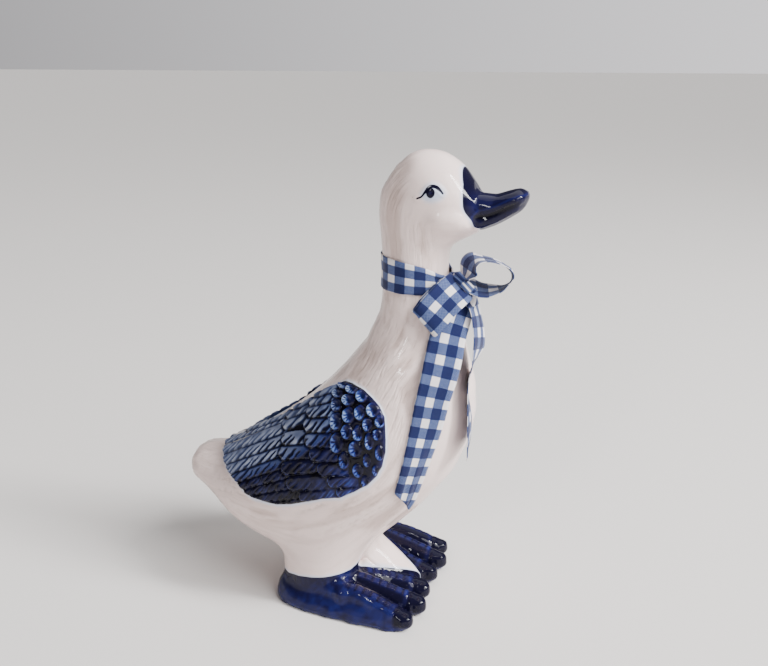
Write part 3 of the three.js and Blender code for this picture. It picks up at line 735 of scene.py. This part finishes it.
# The paint is kept on the mesh as values at its points.
blue_wash = np.maximum(
    0.95 * ease(-3.6, 0.2, in_eye) * beside_head,
    0.9 * ease(-1.6, 0.2, np.maximum(np.maximum(bill_edge, foot_edge), wing_edge)),
)
layer = duck_mesh.attributes.new("stroke_way", "FLOAT_VECTOR", "POINT")
layer.data.foreach_set("vector", stroke_way.astype(np.float32).ravel())
for name, values in (
    ("plumed", fades),
    ("paint", paint_depth),
    ("ink", np.clip(paint_ink, 0, 1)),
    ("blue_wash", blue_wash),
    # The plumage's grooves also darken the colour: pooled glaze and painted shade.
    ("plumage", -plumage / 0.5 * (1 - 0.7 * ease(-60, -84, x))),
    ("slate_and_sheen", slate_and_sheen),
):
    layer = duck_mesh.attributes.new(name, "FLOAT", "POINT")
    layer.data.foreach_set("value", values.astype(np.float32))

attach(duck, "root")
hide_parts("duck")

glaze = bpy.data.materials.new("glazed_porcelain")
glaze.use_nodes = True
glaze_tree = glaze.node_tree
glaze_nodes, glaze_links = glaze_tree.nodes, glaze_tree.links
glaze_shader = glaze_nodes["Principled BSDF"]


def set_inputs(node, values):
    """Sets plain values on a node's own sockets."""
    for name, value in values.items():
        node.inputs[name].default_value = value


set_inputs(glaze_shader, {
    "Roughness": 0.34,
    "Specular IOR Level": 0,
    "Coat Weight": 0.8,
    "Coat Roughness": 0.035,
    "Coat IOR": 1.32,
})


def glaze_value(name, output="Fac"):
    layer = glaze_nodes.new("ShaderNodeAttribute")
    layer.attribute_name = name
    return layer.outputs[output]


def colour_ramp(tree, value, stops):
    """Colours laid along a value."""
    ramp = tree.nodes.new("ShaderNodeValToRGB")
    while len(ramp.color_ramp.elements) < len(stops):
        ramp.color_ramp.elements.new(0.5)
    for element, (position, colour) in zip(ramp.color_ramp.elements, stops):
        element.position = position
        element.color = (*colour, 1)
    tree.links.new(value, ramp.inputs["Fac"])
    return ramp.outputs["Color"]


def math_step(tree, operation, first, second=0.0):
    """One sum on numbers or on what other nodes put out."""
    step = tree.nodes.new("ShaderNodeMath")
    step.operation = operation
    for socket, source in zip(step.inputs, (first, second)):
        if isinstance(source, (int, float)):
            socket.default_value = source
        else:
            tree.links.new(source, socket)
    return step.outputs["Value"]


def spread(tree, value, low_in, high_in, low_out=0, high_out=1, curve="LINEAR"):
    """A value moved from one range to another."""
    scale = tree.nodes.new("ShaderNodeMapRange")
    scale.interpolation_type = curve
    set_inputs(scale, {"From Min": low_in, "From Max": high_in, "To Min": low_out, "To Max": high_out})
    tree.links.new(value, scale.inputs["Value"])
    return scale.outputs["Result"]


def glaze_mix(share, under, over):
    mix = glaze_nodes.new("ShaderNodeMix")
    mix.data_type = "RGBA"
    for socket, source in zip((mix.inputs[0], mix.inputs[6], mix.inputs[7]), (share, under, over)):
        if isinstance(source, tuple):
            socket.default_value = (*source, 1)
        else:
            glaze_links.new(source, socket)
    return mix.outputs[2]


# Hair-fine strokes of the plumage, below the smooth glaze.
fine_strokes = glaze_nodes.new("ShaderNodeTexNoise")
set_inputs(fine_strokes, {"Scale": 1, "Detail": 2})
glaze_links.new(glaze_value("stroke_way", "Vector"), fine_strokes.inputs["Vector"])
hair_noise = spread(glaze_tree, fine_strokes.outputs["Fac"], 0.5, 0.32)
hair_line = math_step(glaze_tree, "MULTIPLY", hair_noise, glaze_value("plumed"))
hair_bump = glaze_nodes.new("ShaderNodeBump")
hair_bump.invert = True
set_inputs(hair_bump, {"Strength": 0.45, "Distance": 0.0005})
glaze_links.new(hair_line, hair_bump.inputs["Height"])
glaze_links.new(hair_bump.outputs["Normal"], glaze_shader.inputs["Normal"])
# The carved grooves and hair strokes are painted darker and browner: part glaze pooled in them, part
# painted shade and painted reflection.
hair_shade = math_step(glaze_tree, "MULTIPLY", hair_line, 0.2)
groove_glaze_and_shade = math_step(glaze_tree, "ADD", glaze_value("plumage"), hair_shade)
white_body = colour_ramp(glaze_tree, groove_glaze_and_shade, ((0, (0.82, 0.67, 0.635)), (1, (0.56, 0.43, 0.39))))
tinted_body = glaze_mix(glaze_value("blue_wash"), white_body, (0.56, 0.64, 0.8))
cobalt_paint = colour_ramp(glaze_tree, glaze_value("ink"), (
    (0.1, (0.3, 0.42, 0.68)),
    (0.3, (0.13, 0.22, 0.48)),
    (0.5, (0.04, 0.075, 0.28)),
    (0.68, (0.013, 0.017, 0.108)),
    (0.84, (0.007, 0.0065, 0.034)),
    (1, (0.003, 0.0025, 0.005)),
))
# A greyer copy of the cobalt for the wing's rear and top, where a painted sheen is laid in.
slate_and_sheen_paint = colour_ramp(glaze_tree, glaze_value("ink"), (
    (0.1, (0.37, 0.4, 0.49)),
    (0.3, (0.19, 0.215, 0.305)),
    (0.5, (0.078, 0.095, 0.17)),
    (0.68, (0.018, 0.025, 0.068)),
    (0.84, (0.006, 0.008, 0.025)),
    (1, (0.004, 0.0035, 0.006)),
))
wing_paint = glaze_mix(glaze_value("slate_and_sheen"), cobalt_paint, slate_and_sheen_paint)
painted = spread(glaze_tree, glaze_value("paint"), -0.14, 0.14)
glaze_links.new(glaze_mix(painted, tinted_body, wing_paint), glaze_shader.inputs["Base Color"])
duck_mesh.materials.clear()
duck_mesh.materials.append(glaze)


# The ribbon: one length of woven cotton gingham 16 mm wide and about half a metre long, passed round the
# neck and tied in a bow at its right front. Each run of it is a grid laid along a line of stations, the
# middle of the ribbon and the direction of its width in millimetres, and the cloth is 0.35 mm thick.
RIBBON_WIDTH = 16.0
CLOTH_THICKNESS = 0.35
CLOTH_STEP = 1.0
KNOT_CENTRE = np.array([53.4, -6.5, 171.4])
KNOT_HALF = (2.4, 6.4, 3.3)
NECK_AXIS_X = 29.0


def cloth_grid(name, places, flat_places):
    """Cloth laid on rows of places, with each one's position on the flat ribbon as its UV."""
    rows, columns = places.shape[:2]
    bpy.ops.mesh.primitive_grid_add(x_subdivisions=columns - 1, y_subdivisions=rows - 1, size=1)
    grid = bpy.context.object
    grid.name = name
    mesh = grid.data
    mesh.vertices.foreach_set("co", (places.reshape(-1, 3) / 1000).astype(np.float32).ravel())
    corner = np.empty(len(mesh.loops), np.int32)
    mesh.loops.foreach_get("vertex_index", corner)
    flat = flat_places.reshape(-1, 2)[corner] / 100
    mesh.uv_layers.active.data.foreach_set("uv", flat.astype(np.float32).ravel())
    mesh.update()
    return grid


def cloth_run(name, stations, start, squeeze, slant, curl, seed):
    """A run of the ribbon along its stations; squeeze is its width near each end as a share."""
    stations = np.asarray(stations, float)
    samples = 40 * len(stations)
    fine_line = curve_through(stations[:, 0:3], samples)
    fine_turn = curve_through(stations[:, 3:6], samples)
    reached = np.concatenate([[0], np.cumsum(np.linalg.norm(np.diff(fine_line, axis=0), axis=1))])
    total = reached[-1]
    down = np.linspace(0, total, int(total / CLOTH_STEP))[:, None]
    aside = np.linspace(-1, 1, 13)[None, :]
    down = down + slant * aside / 2 * ease(total - 18, total, down)
    held = np.clip(down, 0, total)

    def at_held(values):
        return np.stack([np.interp(held, reached, values[:, k]) for k in range(3)], axis=-1)

    def waver(length, breadth, kind):
        at = np.stack([down / length, aside * breadth + 0 * down, np.full(down.shape, seed)], axis=-1)
        return drift(at.reshape(-1, 3), kind).reshape(down.shape)

    run = at_held(np.gradient(fine_line, axis=0))
    run /= np.linalg.norm(run, axis=-1, keepdims=True)
    middle = at_held(fine_line) + run * (down - held)[..., None]
    across = at_held(fine_turn)
    across -= run * np.sum(across * run, axis=-1, keepdims=True)
    across /= np.linalg.norm(across, axis=-1, keepdims=True)
    normal = np.cross(run, across)
    width = np.minimum(squeeze[0] + down / 13, squeeze[1] + (total - down) / 13).clip(max=1)
    if stations.shape[1] > 6:
        steps = np.column_stack([np.arange(len(stations)), stations[:, 6]])
        width = width * np.interp(held, reached, curve_through(steps, samples)[:, 1])
    lift = curl * (aside**2 - 0.35) + 0.5 * waver(17, 0.7, 51)
    lift += 1.5 * (1 - width) * np.sin(aside * 2.6 * math.pi)
    half = RIBBON_WIDTH / 2 * width + 0.1 * waver(1.3, 1, 53) * (np.abs(aside) > 0.99)
    places = middle + across * (aside * half)[..., None] + normal * lift[..., None]
    flat = np.stack([(aside + 1) / 2 * RIBBON_WIDTH + 0 * down, down + start], axis=-1)
    return cloth_grid(name, places, flat)


# The band: it lies flush on the neck, 16 mm tall at the nape, and is drawn together into the knot.
BAND_FOOT = 167.2
BAND_TOP = 183
band_angles = np.linspace(0, 2 * math.pi, 150)
band_up = np.linspace(0, 1, 13)
knot_angle = math.atan2(KNOT_CENTRE[1], KNOT_CENTRE[0] - NECK_AXIS_X)
turned = band_angles + knot_angle
front = ((1 + np.cos(turned)) / 2) ** 2
drawn = ease(math.radians(52), math.radians(8), np.abs((band_angles + math.pi) % (2 * math.pi) - math.pi))
band_low = BAND_FOOT - 0.9 * front + 2.6 * drawn
band_high = BAND_TOP - 6.4 * front - 2.2 * drawn
band_z = band_low[:, None] + (band_high - band_low)[:, None] * band_up[None, :]
band_turn = np.repeat(turned[:, None], len(band_up), axis=1)


def round_neck(reach):
    """Places of the band at a distance from the neck's middle."""
    x, y = NECK_AXIS_X + reach * np.cos(band_turn), reach * np.sin(band_turn)
    return np.stack([x, y, band_z], axis=-1)


# Where the neck's skin lies, found by halving.
near_reach = np.full(band_z.shape, 4.0)
far_reach = np.full(band_z.shape, 34.0)
for _ in range(22):
    middle_reach = (near_reach + far_reach) / 2
    within = body_skin(round_neck(middle_reach).reshape(-1, 3))[4].reshape(band_z.shape) < 1
    near_reach = np.where(within, middle_reach, near_reach)
    far_reach = np.where(within, far_reach, middle_reach)
gathers = np.sin(band_up * 5.2 * math.pi)[None, :] * 0.55 * drawn[:, None]
band_reach = near_reach + 0.75 + gathers + 1.6 * drawn[:, None]
band_reach += 0.22 * drift(
    np.stack([band_turn * 3.5, band_z / 6, 0 * band_z], axis=-1).reshape(-1, 3), 57
).reshape(band_z.shape)
band_flat = np.stack([
    np.broadcast_to(band_up[None, :] * RIBBON_WIDTH, band_z.shape),
    np.broadcast_to((band_angles * 17.5)[:, None], band_z.shape),
], axis=-1)
ribbon_runs = [cloth_grid("neck_band", round_neck(band_reach), band_flat)]

# The bow: two loops and two tails, all drawn together inside the knot.
ribbon_runs.append(cloth_run("near_loop", [
    [53, -8.5, 171, 0.72, -0.07, -0.69], [49.6, -14.4, 168.4, 0.71, -0.07, -0.7],
    [45.2, -19, 163.4, 0.62, -0.06, -0.78], [41, -22, 157.8, 0.5, -0.06, -0.86],
    [38.7, -22, 155.3, 0.48, -0.06, -0.88], [39.2, -20.4, 156.4, 0.48, -0.06, -0.88],
    [43.2, -16.6, 162.4, 0.62, -0.06, -0.78], [47.6, -11.4, 167.2, 0.7, -0.07, -0.71],
    [53, -6, 171, 0.72, -0.07, -0.69],
], 0, (0.9, 0.9), 0, 0.3, 1))
ribbon_runs.append(cloth_run("far_loop", [
    [53.2, -6, 172.2, -0.45, 0.6, -0.66], [54.6, -4.6, 176.2, -0.66, 0.72, -0.2],
    [55.8, -4.6, 180.5, -0.66, 0.75, 0.05], [58.5, -4.3, 182.9, -0.55, 0.84, 0.01],
    [62.2, -3.1, 183.1, -0.51, 0.86, -0.03], [67.5, -1.1, 181.7, -0.37, 0.93, -0.07],
    [71.4, 0.6, 179.4, -0.29, 0.95, -0.12], [73.9, 1.7, 176, -0.16, 0.97, -0.2],
    [73.7, 1.8, 172.6, -0.13, 0.97, -0.2], [71.7, 1.2, 170.5, -0.21, 0.96, -0.2],
    [68.4, 0.1, 168.9, -0.31, 0.95, -0.04], [62.8, -1.3, 168.1, -0.4, 0.9, 0.18],
    [57.4, -3.4, 169.6, -0.41, 0.8, 0.35], [53.6, -5.5, 171, -0.45, 0.6, 0.5],
], 3, (0.6, 0.6), 0, 0.4, 2))
ribbon_runs.append(cloth_run("near_tail", [
    [52.8, -6, 169.5, 0.8, 0.3, -0.5, 0.95], [50.8, -10.5, 159.2, 0.9, 0.25, -0.35, 1.02],
    [49, -15.8, 149.6, 0.93, 0.26, -0.24, 1.05], [48.4, -22, 139.8, 0.94, 0.24, -0.2, 1.07],
    [47.3, -26.4, 130.3, 0.9, 0.34, -0.25, 1.04], [45.2, -28.3, 120, 0.88, 0.4, -0.24, 1],
    [43.4, -29.3, 110.2, 0.83, 0.48, -0.28, 0.98], [41, -30.1, 99.4, 0.78, 0.55, -0.3, 0.94],
    [38.2, -30.6, 88, 0.71, 0.6, -0.36, 0.88], [35, -30.2, 76.3, 0.64, 0.62, -0.45, 0.8],
    [32.2, -29.3, 67, 0.55, 0.64, -0.5, 0.74],
], 2.2, (0.9, 1), 10.5, -0.5, 3))
ribbon_runs.append(cloth_run("far_tail", [
    [54.5, -5.5, 168.5, 0.4, 0.8, -0.3], [56.8, -2.6, 163, 0.15, 0.95, -0.31],
    [59.1, -3.5, 156.4, 0.06, 0.96, -0.27],
    [61, -5.4, 149.2, 0.11, 0.95, -0.28], [61.8, -7.4, 142.5, 0.12, 0.95, -0.29],
    [59.5, -9.5, 132.6, -0.2, 0.93, -0.31], [58.1, -10.6, 126, -0.24, 0.92, -0.31],
    [58.3, -11.6, 119.6, -0.2, 0.92, -0.33], [59.9, -12.6, 107.9, -0.08, 0.92, -0.38],
    [60.1, -12.7, 99, -0.12, 0.91, -0.41], [59.6, -12.9, 91, -0.18, 0.88, -0.44],
], 5, (0.55, 1), -5, -0.3, 4))

# The knot: a short turn of the ribbon, folded small, wrapped once round the middle of the bow.
knot_along = np.array([0.62, 0.43, 0.66])
knot_along /= np.linalg.norm(knot_along)
knot_down = np.array([0.73, 0, -0.69])
knot_down -= knot_along * (knot_along @ knot_down)
knot_down /= np.linalg.norm(knot_down)
knot_out = np.cross(knot_along, knot_down)
wrap = np.linspace(0, 2 * math.pi * 1.03, 64)[:, None]
broad_share = np.linspace(-1, 1, 15)[None, :]
pleats = 0.3 * np.sin(broad_share * 7.5 + 0.5 * np.sin(wrap)) * np.cos(broad_share * 1.5)
wrap_reach = (1 - 0.16 * broad_share**4) * (1 + 0.01 * wrap)
knot_places = (
    KNOT_CENTRE
    + knot_along * (broad_share * (KNOT_HALF[0] + 0.3 * np.cos(2 * wrap)))[..., None]
    + knot_down * ((KNOT_HALF[1] * wrap_reach + pleats) * np.cos(wrap))[..., None]
    + knot_out * ((KNOT_HALF[2] * wrap_reach + pleats) * np.sin(wrap))[..., None]
)
knot_flat = np.stack([
    (broad_share + 1) / 2 * RIBBON_WIDTH + 0 * wrap, wrap * 5 + 2 + 0 * broad_share
], axis=-1)
ribbon_runs.append(cloth_grid("knot", knot_places, knot_flat))

bpy.ops.object.select_all(action="DESELECT")
for run_piece in ribbon_runs:
    run_piece.select_set(True)
bpy.context.view_layer.objects.active = ribbon_runs[0]
bpy.ops.object.join()
ribbon = bpy.context.object
ribbon.name = ribbon.data.name = "gingham_ribbon"
cloth = ribbon.modifiers.new("cloth", "SOLIDIFY")
cloth.thickness = CLOTH_THICKNESS / 1000
cloth.offset = 0
bpy.ops.object.modifier_apply(modifier=cloth.name)
ribbon.data.polygons.foreach_set("use_smooth", np.ones(len(ribbon.data.polygons), bool))

gingham = bpy.data.materials.new("woven_gingham")
gingham.use_nodes = True
gingham_nodes, gingham_links = gingham.node_tree.nodes, gingham.node_tree.links
gingham_shader = gingham_nodes["Principled BSDF"]
set_inputs(gingham_shader, {
    "Roughness": 0.85,
    "Specular IOR Level": 0.25,
    "Sheen Weight": 0.25,
    "Sheen Roughness": 0.4,
})


def cloth_math(operation, first, second=0.0):
    return math_step(gingham.node_tree, operation, first, second)


cloth_place = gingham_nodes.new("ShaderNodeUVMap").outputs["UV"]
cloth_axes = gingham_nodes.new("ShaderNodeSeparateXYZ")
gingham_links.new(cloth_place, cloth_axes.inputs[0])
across_mm = cloth_math("MULTIPLY", cloth_axes.outputs["X"], 100)
along_mm = cloth_math("MULTIPLY", cloth_axes.outputs["Y"], 100)

# Checks of blue and white threads, and a white selvedge: from one blue stripe to the next, in mm.
CHECK_ACROSS = 8.4
CHECK_ALONG = 10.2
BLUE_SHARE = 0.555
SELVEDGE = 0.15
THREAD = 0.5
in_check = [
    cloth_math("LESS_THAN", cloth_math("FRACT", cloth_math("DIVIDE", place, repeat)), BLUE_SHARE)
    for place, repeat in (
        (cloth_math("SUBTRACT", across_mm, SELVEDGE), CHECK_ACROSS),
        (cloth_math("ADD", along_mm, 1.2), CHECK_ALONG),
    )
]
past_selvedge = cloth_math("GREATER_THAN", across_mm, SELVEDGE)
in_check[0] = cloth_math("MULTIPLY", in_check[0], past_selvedge)
threads = [cloth_math("DIVIDE", place, THREAD) for place in (across_mm, along_mm)]
crossing = cloth_math("ADD", *(cloth_math("FLOOR", thread) for thread in threads))
warp_on_top = cloth_math("GREATER_THAN", cloth_math("FRACT", cloth_math("DIVIDE", crossing, 2)), 0.25)
weft_on_top = cloth_math("SUBTRACT", 1.0, warp_on_top)
blueness = cloth_math("ADD", *(
    cloth_math("MULTIPLY", check, on_top)
    for check, on_top in zip(in_check, (warp_on_top, weft_on_top))
))
both = cloth_math("ADD", *in_check)
level = cloth_math("ADD", cloth_math("MULTIPLY", both, 0.4), cloth_math("MULTIPLY", blueness, 0.2))
slub = gingham_nodes.new("ShaderNodeTexNoise")
set_inputs(slub, {"Scale": 90, "Detail": 3})
gingham_links.new(cloth_place, slub.inputs["Vector"])
uneven = cloth_math("MULTIPLY", cloth_math("SUBTRACT", slub.outputs["Fac"], 0.5), 0.12)
dye = colour_ramp(gingham.node_tree, cloth_math("ADD", level, uneven), (
    (0.04, (0.78, 0.75, 0.77)),
    (0.4, (0.095, 0.13, 0.27)),
    (0.62, (0.03, 0.05, 0.155)),
    (1, (0.005, 0.01, 0.065)),
))
gingham_links.new(dye, gingham_shader.inputs["Base Color"])

weave = cloth_math("ADD", *(
    cloth_math("ABSOLUTE", cloth_math("SINE", cloth_math("MULTIPLY", thread, math.pi)))
    for thread in threads
))
weave_bump = gingham_nodes.new("ShaderNodeBump")
set_inputs(weave_bump, {"Strength": 0.5, "Distance": 0.00012})
gingham_links.new(weave, weave_bump.inputs["Height"])
gingham_links.new(weave_bump.outputs["Normal"], gingham_shader.inputs["Normal"])
ribbon.data.materials.clear()
ribbon.data.materials.append(gingham)

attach(ribbon, "root")
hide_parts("ribbon")


# The floor is a plain pale table top. The room round it glows low down and is dim above, and the light
# comes from two broad suns and from two windows, one before the duck and one at its right.
bpy.ops.mesh.primitive_plane_add(size=30, location=(0, 0, 0))
table_top = bpy.context.object
table_top.name = "table_top"
pale = bpy.data.materials.new("pale_table")
pale.use_nodes = True
set_inputs(pale.node_tree.nodes["Principled BSDF"], {
    "Base Color": (0.72, 0.69, 0.67, 1),
    "Roughness": 0.7,
})
table_top.data.materials.append(pale)
table_top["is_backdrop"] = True

world = bpy.data.worlds.new("soft_room")
world.use_nodes = True
room = world.node_tree
backdrop = room.nodes["Background"]
backdrop.inputs["Color"].default_value = (0.95, 0.93, 0.96, 1)
sight = room.nodes.new("ShaderNodeTexCoord").outputs["Generated"]
sight_axes = room.nodes.new("ShaderNodeSeparateXYZ")
room.links.new(sight, sight_axes.inputs["Vector"])
wall_glow = spread(room, sight_axes.outputs["Z"], 0.08, 0.14, 1.15, 0.16, "SMOOTHSTEP")
side_glow = spread(room, sight_axes.outputs["X"], -0.9, 0.1, 0.3)
room.links.new(math_step(room, "MULTIPLY", wall_glow, side_glow), backdrop.inputs["Strength"])
bpy.context.scene.world = world


def hang_light(name, kind, turn, power, place=(0, 0, 0)):
    """A lamp, its turn in degrees."""
    bpy.ops.object.light_add(type=kind, location=place, rotation=[*map(math.radians, turn)])
    bpy.context.object.name = name
    bpy.context.object.data.energy = power
    return bpy.context.object.data


for name, turn, power, breadth in (("daylight", (49, 0, 73), 3.7, 42), ("ceiling", (25, 0, 190), 1, 60)):
    hang_light(name, "SUN", turn, power).angle = math.radians(breadth)
for name, turn, power, place, size in (
    ("tall_window", (52, 0, 88), 40, (1.17, -0.04, 1.1), (0.2, 0.9)),
    ("left_window", (62, 0, -9), 4.5, (-0.2, -1.32, 0.8), (0.13, 0.26)),
):
    window = hang_light(name, "AREA", turn, power, place)
    window.shape = "RECTANGLE"
    window.size, window.size_y = size

low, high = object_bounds()
